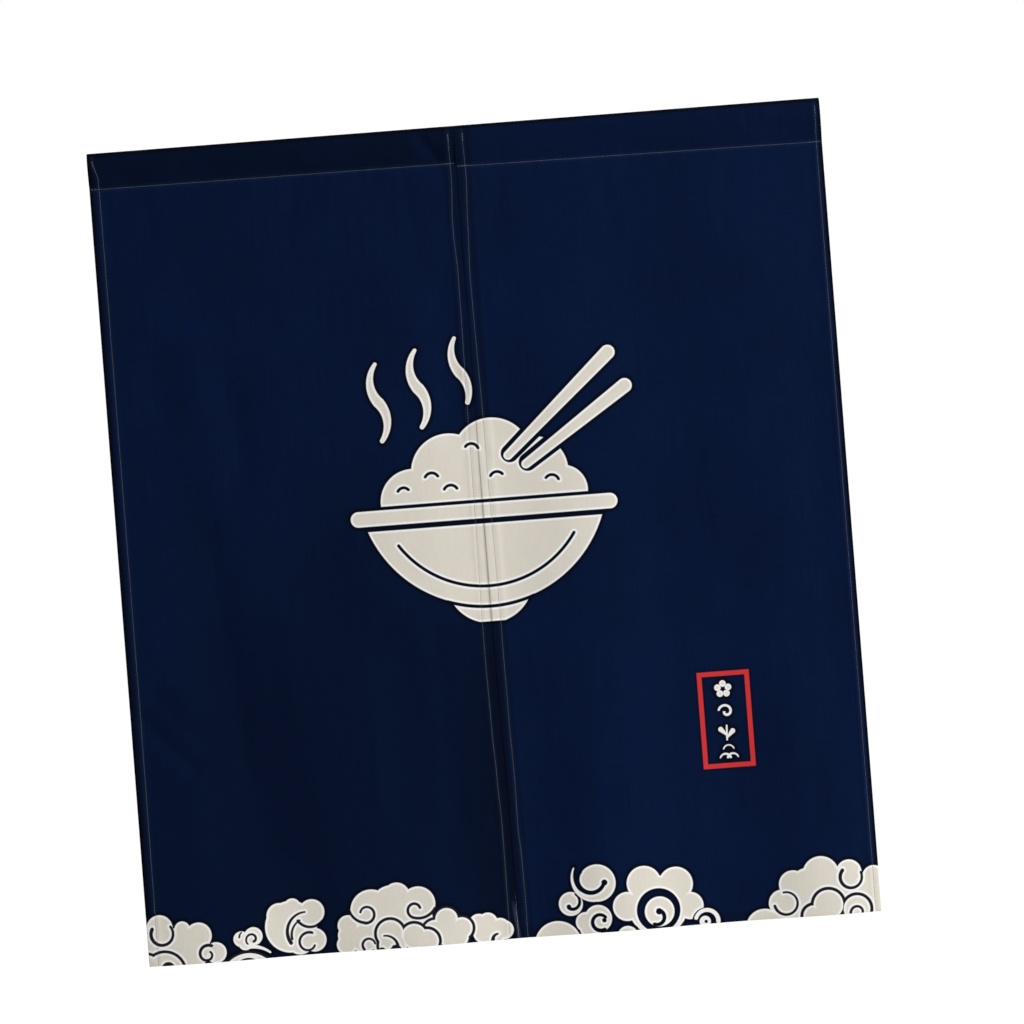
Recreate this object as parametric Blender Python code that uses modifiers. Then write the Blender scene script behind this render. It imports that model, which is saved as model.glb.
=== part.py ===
"""Noren: a short split doorway curtain of two cloth panels with a rod pocket along the top edge.

Metres, +Z up, +X to the right as seen from the front, front facing -Y.
The origin is the middle of the top edge, where a rod carries the curtain.
"""
import math

import bmesh
import bpy

# Driving dimensions
WIDTH = 0.810
DROP = 0.900
SEAM_GAP = 0.0006

# One layer of cloth, and where a hem doubles it
CLOTH = 0.0010
HEMMED = 0.0018
SIDE_HEM = 0.0090
FOOT_HEM = 0.0100
HEM_STEP = 0.0008

# The rod pocket: how far it swells to the front and to the back of its line of stitching
POCKET_FRONT = 0.0050
POCKET_BACK = 0.0100
POCKET_FOOT_ANGLE = 1.0
SWELL_PEAK = 4.0 / (3.0 * math.sqrt(3.0))
POCKET_ROWS = 14
STITCH_STEP = 0.0040

# Height of the pocket at each panel's left and right edge
POCKET_HEIGHTS = {
    "panel_left": (0.0400, 0.0415),
    "panel_right": (0.0450, 0.0485),
}

# The panels are sewn together down to SEWN_DROP. Below it their edges hang a little apart,
# and one lies a little before the other.
SEWN_DROP = 0.360
SLIT_OPEN = 0.0005
SLIT_STEP = 0.0008
SLIT_STEP_REACH = 0.030

# Steps of the hanging cloth between the hems
COLUMNS = 18
ROWS = 27

# Soft folds in the hanging cloth: where each starts and ends, from the middle and from the top edge,
# how far it reaches to each side, and how far it goes back (+) or forward (-)
FOLD_COLUMNS = ("start_x", "start_drop", "end_x", "end_drop", "reach", "depth")
FOLDS = (
    (-0.328, 0.380, -0.275, 0.770, 0.040, 0.0045),
    (-0.270, 0.270, -0.262, 0.380, 0.026, 0.0028),
    (-0.352, 0.230, -0.340, 0.300, 0.024, 0.0022),
    (-0.378, 0.605, -0.326, 0.662, 0.016, 0.0030),
    (-0.205, 0.560, -0.190, 0.860, 0.036, -0.0022),
    (-0.085, 0.600, -0.070, 0.800, 0.034, 0.0040),
    (-0.030, 0.180, -0.024, 0.330, 0.020, 0.0016),
    (0.090, 0.150, 0.100, 0.860, 0.045, -0.0030),
    (0.190, 0.420, 0.175, 0.880, 0.040, 0.0026),
    (0.300, 0.120, 0.320, 0.840, 0.060, -0.0034),
    (0.375, 0.300, 0.368, 0.700, 0.022, 0.0016),
)

# Slow waves of the free lower part: how many across the width, their depth at the foot and their slant
WAVE_COUNT = 3.5
WAVE_DEPTH = 0.0042
WAVE_SLANT = 1.1

NAVY = (0.0065, 0.013, 0.042, 1.0)


def between(low, high, share):
    """A value between low and high."""
    return low + (high - low) * share


def evenly(start, end, count):
    """The inner places of a run that is split into equal steps."""
    return [between(start, end, step / count) for step in range(1, count)]


def fold_depth(x, drop, fold):
    """How far one soft fold moves the cloth at a place, as a smooth trough along its line."""
    shape = dict(zip(FOLD_COLUMNS, fold))
    run_x = shape["end_x"] - shape["start_x"]
    run_drop = shape["end_drop"] - shape["start_drop"]
    along = (x - shape["start_x"]) * run_x + (drop - shape["start_drop"]) * run_drop
    share = min(max(along / (run_x ** 2 + run_drop ** 2), 0.0), 1.0)
    away_x = x - shape["start_x"] - share * run_x
    away_drop = drop - shape["start_drop"] - share * run_drop
    spread = (away_x ** 2 + away_drop ** 2) / shape["reach"] ** 2
    return shape["depth"] * math.exp(-spread)


def lie(x, drop):
    """How far back the front face of the hanging cloth lies at a place."""
    loose = (drop / DROP) ** 1.5
    turn = 2.0 * math.pi * WAVE_COUNT * x / WIDTH + WAVE_SLANT * drop / DROP
    wave = WAVE_DEPTH * loose * math.sin(turn)
    return wave + sum(fold_depth(x, drop, fold) for fold in FOLDS)


def slit_share(drop):
    """0 where the panels are sewn together, rising to 1 at the foot of the slit."""
    return max(drop - SEWN_DROP, 0.0) / (DROP - SEWN_DROP)


def column_places(width):
    """Places across one panel: the side hems' own columns and the field between them."""
    inner = SIDE_HEM + HEM_STEP
    field = evenly(inner, width - inner, COLUMNS)
    return [0.0, SIDE_HEM, inner] + field + [width - inner, width - SIDE_HEM, width]


def hanging_drops(height):
    """Drops of the rows from the foot up to the stitching of a pocket of this height."""
    hem_top = DROP - FOOT_HEM
    field = evenly(hem_top - HEM_STEP, height + STITCH_STEP, ROWS)
    return [DROP, hem_top, hem_top - HEM_STEP] + field + [height + STITCH_STEP, height]


def pocket_point(angle, height):
    """Place on the pocket's drop-shaped section: how far back and how far down from the top edge."""
    swell = math.sin(angle) * math.sin(angle / 2.0) / SWELL_PEAK
    back = -POCKET_FRONT * swell if swell > 0.0 else -POCKET_BACK * swell
    return back, height * (1.0 + math.cos(angle)) / 2.0


def section(height):
    """The cloth's outer face from the foot up, over the top of the pocket and back to its stitching."""
    turn = 2.0 * (math.pi - POCKET_FOOT_ANGLE)
    angles = [POCKET_FOOT_ANGLE + turn * row / POCKET_ROWS for row in range(POCKET_ROWS + 1)]
    hanging = [(0.0, drop) for drop in hanging_drops(height)]
    return hanging + [pocket_point(angle, height) for angle in angles] + [(0.0, height)]


def hang(name, share, back, drop, height):
    """The point in space of a place on the section, at a share of the panel's width from its left edge."""
    side = -1.0 if name == "panel_left" else 1.0
    free = slit_share(drop)
    slit_edge = side * (SEAM_GAP / 2.0 + SLIT_OPEN * math.sin(0.75 * math.pi * free))
    edges = sorted((slit_edge, side * WIDTH / 2.0))
    x = between(edges[0], edges[1], share)
    near_slit = math.exp(-(x / SLIT_STEP_REACH) ** 2)
    rest = lie(x, max(drop, height)) + side * SLIT_STEP * near_slit * math.sin(math.pi * free)
    return x, back + rest * min(drop / height, 1.0), -drop


def thickness(across, width, back, drop, height):
    """How thick the cloth is at a place: doubled by the hems, and by the pocket's stitching."""
    at_side = min(across, width - across) <= SIDE_HEM
    at_foot = drop >= DROP - FOOT_HEM
    layers = HEMMED if at_side or at_foot else CLOTH
    sewn = drop == height and back == 0.0
    return 2.0 * layers if sewn else layers


def cloth_material(name, color):
    """Dark dyed cotton."""
    material = bpy.data.materials.new(name)
    material.use_nodes = True
    shader = material.node_tree.nodes["Principled BSDF"]
    shader.inputs["Base Color"].default_value = color
    shader.inputs["Roughness"].default_value = 0.9
    shader.inputs["Metallic"].default_value = 0.0
    return material


def cloth_sheet(name, width):
    """The open sheet of one panel, a grid that is hung in its folds and sewn down behind its pocket."""
    columns = column_places(width)
    heights = [between(*POCKET_HEIGHTS[name], across / width) for across in columns]
    sections = [section(height) for height in heights]
    last_column = len(columns) - 1
    last_row = len(sections[0]) - 1

    sheet = bmesh.new()
    bmesh.ops.create_grid(sheet, x_segments=last_column, y_segments=last_row, size=0.5)
    weights = sheet.verts.layers.deform.verify()
    for vert in sheet.verts:
        column = round((vert.co.x + 0.5) * last_column)
        row = round((vert.co.y + 0.5) * last_row)
        back, drop = sections[column][row]
        height = heights[column]
        vert.co = hang(name, columns[column] / width, back, drop, height)
        vert[weights][0] = thickness(columns[column], width, back, drop, height) / (2.0 * HEMMED)
    bmesh.ops.remove_doubles(sheet, verts=sheet.verts[:], dist=0.00001)
    mesh = bpy.data.meshes.new(name)
    sheet.to_mesh(mesh)
    sheet.free()
    return mesh


def make_panel(name, collection, material):
    """One panel: its open sheet made a solid, which grows inwards from the cloth's outer face."""
    mesh = cloth_sheet(name, WIDTH / 2.0)
    mesh.materials.append(material)
    panel = bpy.data.objects.new(name, mesh)
    panel.vertex_groups.new(name="thickness")
    collection.objects.link(panel)
    solid = panel.modifiers.new("thickness", "SOLIDIFY")
    solid.solidify_mode = "NON_MANIFOLD"
    solid.nonmanifold_thickness_mode = "FIXED"
    solid.nonmanifold_boundary_mode = "NONE"
    solid.nonmanifold_merge_threshold = 0.00001
    solid.thickness = 2.0 * HEMMED
    solid.offset = -1.0
    solid.vertex_group = "thickness"
    solid.thickness_vertex_group = 0.0
    return panel


def main():
    """Clear the scene and hang the two panels edge to edge."""
    for old in list(bpy.data.objects):
        bpy.data.objects.remove(old, do_unlink=True)
    collection = bpy.data.collections.new("noren")
    bpy.context.scene.collection.children.link(collection)
    cloth = cloth_material("navy cotton", NAVY)
    for name in ("panel_left", "panel_right"):
        make_panel(name, collection, cloth)


main()
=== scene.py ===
"""Noren curtain: dark blue cotton in two hemmed panels, with its weave, its print and its stitching.

Metres, +Z up, +X to the right as seen from the front, front facing -Y, as in the solids it dresses.
The print is laid out in millimetres, from the curtain's lower left corner.
"""
import math

import bmesh
import bpy
from mathutils import Matrix, Vector, noise


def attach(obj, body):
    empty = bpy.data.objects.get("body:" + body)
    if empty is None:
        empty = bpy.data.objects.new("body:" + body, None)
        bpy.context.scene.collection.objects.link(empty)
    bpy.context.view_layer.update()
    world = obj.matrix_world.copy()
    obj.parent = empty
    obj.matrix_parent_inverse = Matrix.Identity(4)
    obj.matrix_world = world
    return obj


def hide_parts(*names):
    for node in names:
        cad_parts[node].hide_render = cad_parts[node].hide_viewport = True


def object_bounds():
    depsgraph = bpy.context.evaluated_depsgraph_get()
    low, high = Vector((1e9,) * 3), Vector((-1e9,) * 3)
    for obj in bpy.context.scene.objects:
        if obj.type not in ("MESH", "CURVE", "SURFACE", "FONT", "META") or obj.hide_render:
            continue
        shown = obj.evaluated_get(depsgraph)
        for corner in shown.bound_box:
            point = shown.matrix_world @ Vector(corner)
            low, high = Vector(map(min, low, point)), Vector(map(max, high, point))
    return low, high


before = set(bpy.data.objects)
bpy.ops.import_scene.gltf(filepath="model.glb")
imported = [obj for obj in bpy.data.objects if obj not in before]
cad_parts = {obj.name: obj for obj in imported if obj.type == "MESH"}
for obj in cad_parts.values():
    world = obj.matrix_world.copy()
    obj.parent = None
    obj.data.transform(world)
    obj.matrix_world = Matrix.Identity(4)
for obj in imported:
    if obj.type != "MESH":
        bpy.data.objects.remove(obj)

CAD_LOW, CAD_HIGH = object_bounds()
WIDTH = CAD_HIGH.x - CAD_LOW.x
DROP = CAD_HIGH.z - CAD_LOW.z
MM = 0.001
FRONT = Vector((0.0, -1.0, 0.0))
BEHIND = Vector((0.0, 1.0, 0.0))
MIDDLE = Vector((0.0, 0.0, -DROP / 2.0))

# The cloth, and how far apart its layers lie where it is turned over
CLOTH = 0.00034
GAUGE = 0.00042

# The hems: the foot hem's height, where the raw edges lie, and how far the layers take to ease out
FOOT_HEM = 0.0100
FOOT_RAW = 0.0025
RAW_INSET = 0.0015
HEM_EASE = 0.0040

# How wide each panel's left and right side hem is turned
SIDE_HEMS = {
    "panel_left": (0.0125, 0.0110),
    "panel_right": (0.0150, 0.0085),
}

# The rod pocket, as in the solids, and the cloth that is turned under below its line of stitching
POCKET_FRONT = 0.0050
POCKET_BACK = 0.0100
SWELL_PEAK = 4.0 / (3.0 * math.sqrt(3.0))
POCKET_HEIGHTS = {
    "panel_left": (0.0400, 0.0415),
    "panel_right": (0.0450, 0.0485),
}
POCKET_TAIL = 0.0030
POCKET_RAW = 0.0060

# The slit, as in the solids
SEWN_DROP = 0.360
SLIT_STEP = 0.0008
SLIT_STEP_REACH = 0.030

# The panels' edges meet along a line that wanders a little, and part near the foot: drop, and
# distance from the middle
MEET = (
    (0.000, 0.0000), (0.360, 0.0002), (0.575, 0.0006), (0.665, 0.0015), (0.720, 0.0028), (0.775, 0.0033),
    (0.857, 0.0037), (0.900, 0.0040),
)
EDGES_PRESSED = 0.00004
FOOT_OPEN = 0.00005
FOOT_OPEN_DROP = 0.820

# Steps of the cloth's grid: across the field between the hems, and along its turns and runs
FIELD_STEPS = 92
HEM_STEPS = 4
HEM_FRONT_STEPS = 9
EASE_STEPS = 3
TURN_STEPS = 5
FRONT_STEPS = 222
SEAM_ROWS = 0.0090
SEAM_STEPS = 6
POCKET_STEPS = 38

# Soft folds in the hanging cloth, close to those of the solids: where each starts and ends, from the
# middle and from the top edge, how far it reaches to each side, and how far back it goes
FOLDS = (
    (-0.328, 0.380, -0.275, 0.770, 0.040, 0.0045),
    (-0.300, 0.520, -0.290, 0.840, 0.060, 0.0020),
    (-0.270, 0.270, -0.262, 0.380, 0.026, 0.0028),
    (-0.352, 0.230, -0.340, 0.300, 0.024, 0.0022),
    (-0.378, 0.605, -0.326, 0.662, 0.016, 0.0012),
    (-0.392, 0.629, -0.340, 0.683, 0.010, 0.0023),
    (-0.205, 0.560, -0.190, 0.860, 0.036, -0.0022),
    (-0.085, 0.600, -0.070, 0.800, 0.034, 0.0018),
    (-0.112, 0.570, -0.105, 0.850, 0.030, 0.0022),
    (-0.030, 0.180, -0.024, 0.330, 0.020, 0.0016),
    (0.090, 0.150, 0.100, 0.860, 0.045, -0.0018),
    (0.190, 0.420, 0.175, 0.880, 0.040, 0.0026),
    (0.300, 0.120, 0.320, 0.840, 0.060, -0.0034),
    (0.375, 0.300, 0.368, 0.700, 0.022, 0.0016),
)

# Slow waves that deepen towards the foot, as in the solids
WAVE_COUNT = 3.5
WAVE_DEPTH = 0.0042
WAVE_SLANT = 1.1

# Fine creases that the solids leave out, in the same columns
CREASES = (
    (-0.136, 0.648, -0.138, 0.736, 0.008, -0.0006),
    (-0.303, 0.420, -0.282, 0.700, 0.013, 0.0010),
    (-0.262, 0.285, -0.255, 0.362, 0.011, 0.0008),
    (-0.235, 0.480, -0.222, 0.640, 0.010, -0.0006),
    (-0.060, 0.560, -0.052, 0.770, 0.011, 0.0009),
    (-0.345, 0.048, -0.338, 0.105, 0.007, 0.0006),
    (-0.182, 0.045, -0.190, 0.120, 0.008, 0.0005),
    (-0.058, 0.046, -0.050, 0.135, 0.007, 0.0007),
    (0.046, 0.050, 0.040, 0.118, 0.008, 0.0006),
    (0.172, 0.052, 0.181, 0.125, 0.009, -0.0005),
    (0.296, 0.054, 0.290, 0.130, 0.008, 0.0006),
    (0.118, 0.600, 0.124, 0.820, 0.013, 0.0006),
    (0.262, 0.300, 0.252, 0.560, 0.014, -0.0005),
    (0.338, 0.560, 0.346, 0.800, 0.012, 0.0006),
)

# Dents in the front of the rod pocket, in the same columns
POCKET_DENTS = (
    (-0.036, 0.013, -0.021, 0.033, 0.0052, 0.0024),
    (-0.300, 0.028, -0.190, 0.031, 0.0110, 0.0010),
    (-0.375, 0.024, -0.360, 0.034, 0.0080, 0.0009),
    (0.118, 0.022, 0.205, 0.033, 0.0090, 0.0008),
    (0.330, 0.026, 0.385, 0.036, 0.0080, 0.0008),
)

# Unevenness of the cloth: its depth, and the size of its swells, also in the front of the pocket
UNEVEN_DEPTH = 0.00035
UNEVEN_SIZE = 0.045
POCKET_UNEVEN = 0.22
POCKET_SWELLS = 9.0

# Puckers along the stitching: their depth, their length along the seam and their reach to each side
PUCKER_DEPTH = 0.00022
PUCKER_LENGTH = 0.0145
PUCKER_REACH = 0.0060

# How far the stitching sinks into the cloth, and how far a side hem's layers push its front forward
SEAM_SINK = 0.00026
SEAM_SINK_REACH = 0.0018
HEM_FORWARD = 0.00030

# Reach of the lint beside the stitching, and of the shade where the panels' edges meet, which is
# fainter where they are sewn and fades out near the foot
LINT_REACH = 0.0021
SLIT_LINE = 0.0013
SEWN_SHADE = 0.35

# Where the lines of stitching of the side hems run: drop, and distance from the middle
SIDE_SEAMS = {
    "panel_left": (
        ((0.009, -0.3995), (0.030, -0.3942), (0.200, -0.3940), (0.600, -0.3938), (0.900, -0.3945)),
        ((0.009, -0.0064), (0.055, -0.0058), (0.110, -0.0083), (0.165, -0.0066), (0.360, -0.0080),
         (0.575, -0.0094), (0.665, -0.0083), (0.720, -0.0066), (0.775, -0.0050), (0.900, -0.0056)),
    ),
    "panel_right": (
        ((0.009, 0.0095), (0.055, 0.0105), (0.110, 0.0083), (0.165, 0.0066), (0.360, 0.0090),
         (0.575, 0.0110), (0.665, 0.0116), (0.720, 0.0127), (0.775, 0.0123), (0.814, 0.0139),
         (0.855, 0.0144), (0.900, 0.0140)),
        ((0.009, 0.3990), (0.100, 0.3987), (0.500, 0.3990), (0.900, 0.3988)),
    ),
}

# The stitches, how far they end from the cloth's edge, and how far below its upper fold the foot
# hem is sewn
STITCH_PITCH = 0.0033
STITCH_LENGTH = 0.0029
THREAD = 0.00024
THREAD_SUNK = 0.00003
BACKTACK = 0.0125
BACKTACK_SHIFT = 0.0005
FROM_EDGE = 0.0015
HEM_LINE = 0.0020

# The stitches that join the panels: how far apart, how far over each edge, and how they slant
JOIN_PITCH = 0.0045
JOIN_REACH = 0.0014
JOIN_SLANT = 0.0012


def shapes(paint, discs=(), arcs=(), strokes=(), edge=0.0, low=None, high=None):
    """One layer of the print, cut between two heights, in millimetres across and up.

    Its shapes are cream, ink, cream with an inked edge, or bare, which takes the cream away again.
    A disc is its place and its radius. An arc is its place, its radius, its angle in degrees and its
    width, the last three at its start and at its end. A stroke is the place and the radius of both ends.
    """
    return {"paint": paint, "discs": discs, "arcs": arcs, "strokes": strokes,
            "edge": edge, "low": low, "high": high}


# The print of clouds along the foot of each panel
BORDER_LEFT = (
    shapes("cream", (
        (14.5, 42, 14.5), (39.5, 39.5, 8.5), (57, 31, 14.5), (75, 11, 11.5), (45, 18, 24), (10, 24, 16),
        (30, 24, 17),
    )),
    shapes("ink", arcs=(
        (16.5, 35.5, 12, 12.6, 150, 396, 4.2, 3), (65.5, 9.8, 10.4, 4, 66, 400, 3.8, 2.6),
    )),
    shapes("edged", ((17, -7, 23), (-3, -2, 17)), edge=3.4),
    shapes("ink", ((21, -3, 7.5),)),
    shapes("cream", ((103.5, 23.5, 8.5), (117, 25.5, 10), (108, 19, 8))),
    shapes("ink", arcs=(
        (115.5, 22.5, 7.2, 3, 215, -60, 2.2, 3.2), (109, 25, 7.5, 7.5, 130, 175, 1.6, 2.4),
    )),
    shapes("edged", ((109, -24, 33),), edge=3.2),
    shapes("ink", ((109, -14, 16.5),)),
    shapes("cream", arcs=((112, -20, 34.5, 34.5, 98, 50, 5, 2),)),
    shapes("cream", (
        (159, 32.5, 28.5), (147, 45.5, 14), (162, 54.5, 9), (183, 47, 14), (184, 16, 13), (168, 16, 15),
    )),
    shapes("ink", arcs=(
        (176, 26, 21.5, 21.5, 92, 212, 2.2, 4.4), (178, 22, 19, 19, 118, 190, 2, 3),
        (181, 47, 16.5, 16.5, 212, 318, 3.4, 2.8), (177, 13.5, 11.5, 7.5, 70, 330, 3.2, 2.6),
    )),
    shapes("cream", (
        (222, 29, 11.5), (219, 8, 11), (222, 18, 12), (249, 44, 23), (278, 58, 14.5), (301, 47.5, 19),
        (262, 24, 27), (290, 30, 26), (238, 14, 16), (272, 46, 24),
    )),
    shapes("ink", arcs=(
        (243.6, 50.2, 19.5, 19.5, 196, 262, 3, 3.4), (243, 40.5, 10.2, 6.6, 262, 520, 3.4, 2.6),
        (297, 41, 8.8, 6, 262, 20, 3.2, 3.2),
    )),
    shapes("edged", ((331, 28, 14), (347, 17, 13.5), (338, 10, 18), (318, 14, 16)), edge=3.2),
    shapes("cream", (
        (366, 20, 11), (376, 20.5, 11), (393.5, 11, 10.5), (389, 13, 11.5), (382, 8, 13), (371, 10, 12),
    )),
    shapes("ink", arcs=(
        (347, 17, 13.5, 13.5, -52, 62, 3.4, 3.2), (386.5, 1, 6.2, 6.2, 95, 185, 2.4, 4.6),
        (300, 52, 22, 20, -30, -106, 3.4, 3.2),
    )),
    shapes("edged", ((268, 17, 16.5), (294, 12, 15.5), (308, 6, 14.5), (270, 4, 17)), edge=3.4),
    shapes("ink", ((273, -2, 6.5), (258, -4, 6.5)), arcs=(
        (243.5, 6, 7, 7, 10, 220, 2.4, 3.2), (262, 1.5, 13.5, 13.5, -5, 95, 3.8, 2),
    )),
    shapes("cream", ((264, 5.5, 5.6),)),
)

BORDER_RIGHT = (
    shapes("cream", ((452, -10, 26), (469, 34, 13.2))),
    shapes("bare", ((466.6, 31, 2.6),), arcs=((469.5, 35, 10.8, 6, 52, -118, 3.2, 4.2),)),
    shapes("cream", ((499.4, 55.2, 20.5),), arcs=((498, 58, 27.5, 20, 148, 262, 1.6, 7),)),
    shapes("bare", ((507.6, 55.2, 3.4), (486.5, 31.5, 3)), arcs=(
        (492.8, 59.9, 14.8, 15.2, 140, 345, 6, 4.2),
    )),
    shapes("cream", ((498, 16, 15), (484, 13, 11), (489, 6, 12))),
    shapes("bare", ((504.5, 13.8, 2.6),), arcs=((500, 12, 7.7, 9.5, 40, 292, 3.6, 4.6),)),
    shapes("cream", (
        (551, 51, 19), (586, 47, 19), (600, 22, 15), (531, 27, 16), (566, 19, 27), (565, 25, 33),
    )),
    shapes("bare", ((565, 20, 24.2),)),
    shapes("cream", ((566, 18.5, 16.4),)),
    shapes("bare", ((565.5, 18.6, 3.6),), arcs=((563, 12.5, 7.4, 8.4, 75, -115, 4.8, 4),)),
    shapes("bare", ((529, -6, 15),)),
    shapes("cream", ((529, -6, 11.5),)),
    shapes("bare", ((616.5, 3, 15.5),)),
    shapes("cream", ((615.5, 3, 6.2),), arcs=((617.5, 3, 12.6, 12.6, -5, 158, 4.6, 4),)),
    shapes("bare", ((616.5, 3, 1.9),)),
    shapes("cream", (
        (681, -9, 21), (692, -6, 14), (702, 17, 15), (715, 37, 15.5), (746, 46, 20), (777, 46, 14),
        (804, 39, 12.5), (748, 25, 32), (786, 15, 24), (808, 22, 18), (811, 4, 18), (714, 2, 18),
        (730, 38, 16),
    )),
    shapes("ink", arcs=(
        (706, 16.8, 13, 12, -168, 100, 3.4, 2.4), (779, 40.5, 12, 12, -222, 22, 4.2, 2.8),
    )),
    shapes("edged", ((735, 1, 13), (752, 12, 18), (783, 5, 16.5)), edge=3.6),
    shapes("ink", arcs=((783.5, 1, 7.8, 5, 190, -60, 3.2, 2.8),)),
)

# A bowl of rice with chopsticks and steam, across the middle
BOWL = (
    shapes("cream", (
        (330, 490, 36), (372, 520, 42), (420, 532, 44), (465, 514, 38), (495, 490, 28), (410, 490, 60),
    ), low=487),
    shapes("bare", arcs=(
        (352, 512, 8, 8, 30, 150, 3.4, 3.4), (398, 541, 8, 8, 20, 140, 3.4, 3.4),
        (372, 497, 8, 8, 30, 150, 3.4, 3.4), (484, 500, 8, 8, 20, 140, 3.4, 3.4),
        (320, 499, 7, 7, 40, 150, 3.4, 3.4), (424, 508, 8, 8, 40, 150, 3.4, 3.4),
    ), strokes=(((556, 638, 13), (440, 535, 10)), ((572, 600, 13), (459, 524, 10)))),
    shapes("cream", strokes=(
        ((556, 638, 8), (438, 533, 5)), ((572, 600, 8), (457, 522, 5)),
        ((268, 474.5, 8.5), (546, 474.5, 8.5)),
    )),
    shapes("cream", ((407, 508, 138),), high=460),
    shapes("cream", ((407, 398, 48),), low=352, high=374),
    shapes("bare", arcs=(
        (407, 508, 117, 117, 214, 326, 3.6, 3.6), (407, 508, 139.5, 139.5, 250, 290, 3.8, 3.8),
    )),
    shapes("cream", arcs=(
        (274.4, 580, 33.6, 33.6, -38, 40, 5, 12), (325.6, 623.5, 33.6, 33.6, 220, 142, 12, 4),
        (319.4, 592, 33.6, 33.6, -38, 40, 5, 13), (370.6, 635.5, 33.6, 33.6, 220, 142, 13, 4),
        (366.4, 606, 33.6, 33.6, -20, 40, 5, 12), (417.6, 649.5, 33.6, 33.6, 220, 150, 12, 4),
    )),
)

# The small framed panel: its middle, its half size and its line, and four plain pale marks inside it
FRAME_MIDDLE = (655.6, 223.9)
FRAME_HALF = (28.8, 53.4)
FRAME_LINE = 5.2
FRAME_MARKS = (
    shapes("cream", (
        (654.5, 263.6, 3.6), (648.7, 259.4, 3.6), (650.9, 252.7, 3.6), (658.1, 252.7, 3.6),
        (660.3, 259.4, 3.6),
    )),
    shapes("bare", ((654.5, 257.6, 1.5),)),
    shapes("cream", arcs=((656, 232.5, 8, 1.9, 150, -170, 2.4, 3),)),
    shapes("cream", strokes=(
        ((655, 201.5, 0.9), (655.6, 217, 0.9)), ((655.4, 204, 0.9), (661.8, 210.8, 2.7)),
        ((655.2, 206.5, 0.9), (648.8, 213.2, 2.7)),
    )),
    shapes("cream", arcs=(
        (651.8, 180, 6, 6, 20, 160, 2.6, 1.4), (660.2, 180, 6, 6, 20, 160, 1.4, 2.6),
        (656, 189.5, 6, 6, 20, 160, 1.4, 1.4),
    )),
)

# The finishes of a cloth's faces, in the order of its materials
PLAIN, BACK, BORDER, BOWL_PART, FRAMED = range(5)

# Which parts of the cloth the print reaches: up to a height, or from a middle to both sides
BORDER_TOP = 96.0
BOWL_MIDDLE = (412.0, 500.0)
BOWL_REACH = (176.0, 168.0)
FRAME_REACH = (42.0, 66.0)

# Painted shade where several layers of cloth let less light through from behind, counted in hems: an outer
# side hem, the pockets, the foot hem
OUTER_HEM_SHADE = 0.4
POCKET_SHADE = {"panel_left": 1.45, "panel_right": 0.5}
FOOT_HEM_SHADE = 0.8

# The piece's own map: its margin, and where across it each side starts and how much it takes up
MAP_MARGIN = 0.005
PRINTED_SPAN = (0.005, 0.655)
REVERSE_SPAN = (0.670, 0.325)

# The photograph's frame: its width, the curtain's width and centre in it, and how far it is turned
FRAME_PIXELS = 1024.0
CURTAIN_PIXELS = 734.2
CENTRE_RIGHT = -28.0
CENTRE_UP = -20.5
TURN = math.radians(4.42)
CAMERA_AWAY = 4.0
SENSOR = 36.0

# The room: its floor, its even light, and how white the camera sees it
FLOOR_DROP = 1.90
FLOOR_RADIUS = 5.0
ROOM_LIGHT = 0.25
SEEN_WHITE = 1.02


def between(low, high, share):
    """A value between low and high."""
    return low + (high - low) * share


def ease(share):
    """0 to 1 along a smooth step."""
    share = min(max(share, 0.0), 1.0)
    return share * share * (3.0 - 2.0 * share)


def run(start, end, steps):
    """Points from start up to, but without, end."""
    return [tuple(between(a, b, step / steps) for a, b in zip(start, end)) for step in range(steps)]


def half_turn(centre, radius, first, second, steps):
    """Points round a half circle that starts in the first direction and passes the second."""
    points = []
    for angle in (math.pi * step / steps for step in range(steps)):
        one, two = radius * math.cos(angle), radius * math.sin(angle)
        points.append(tuple(c + one * a + two * b for c, a, b in zip(centre, first, second)))
    return points


def fold_depth(x, drop, fold):
    """How far one soft fold moves the cloth at a place, as a smooth trough along its line."""
    start_x, start_drop, end_x, end_drop, reach, depth = fold
    run_x = end_x - start_x
    run_drop = end_drop - start_drop
    along = (x - start_x) * run_x + (drop - start_drop) * run_drop
    share = min(max(along / (run_x ** 2 + run_drop ** 2), 0.0), 1.0)
    away_x = x - start_x - share * run_x
    away_drop = drop - start_drop - share * run_drop
    spread = (away_x ** 2 + away_drop ** 2) / reach ** 2
    return depth * math.exp(-spread) if spread < 9.0 else 0.0


def folds_at(x, drop, folds):
    """How far back some folds together move the cloth at a place."""
    return sum(fold_depth(x, drop, fold) for fold in folds)


def lie(x, drop):
    """How far back the hanging cloth lies at a place, in its slow waves and soft folds."""
    loose = (drop / DROP) ** 1.5
    turn = 2.0 * math.pi * WAVE_COUNT * x / WIDTH + WAVE_SLANT * drop / DROP
    return WAVE_DEPTH * loose * math.sin(turn) + folds_at(x, drop, FOLDS)


def swell(angle):
    """The rod pocket's bulge round its section: up to 1 in front, down to -1 behind."""
    return math.sin(angle) * math.sin(angle / 2.0) / SWELL_PEAK


def pocket_angle(drop, height):
    """The angle of the front half of the pocket's section at a drop."""
    return math.acos(min(max(2.0 * drop / height - 1.0, -1.0), 1.0))


def follow(line, drop):
    """Where a line runs at a drop, smoothly from point to point and straight on beyond them."""
    for (top, x_top), (foot, x_foot) in zip(line, line[1:]):
        if drop < foot:
            break
    return between(x_top, x_foot, ease((drop - top) / (foot - top)))


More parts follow.
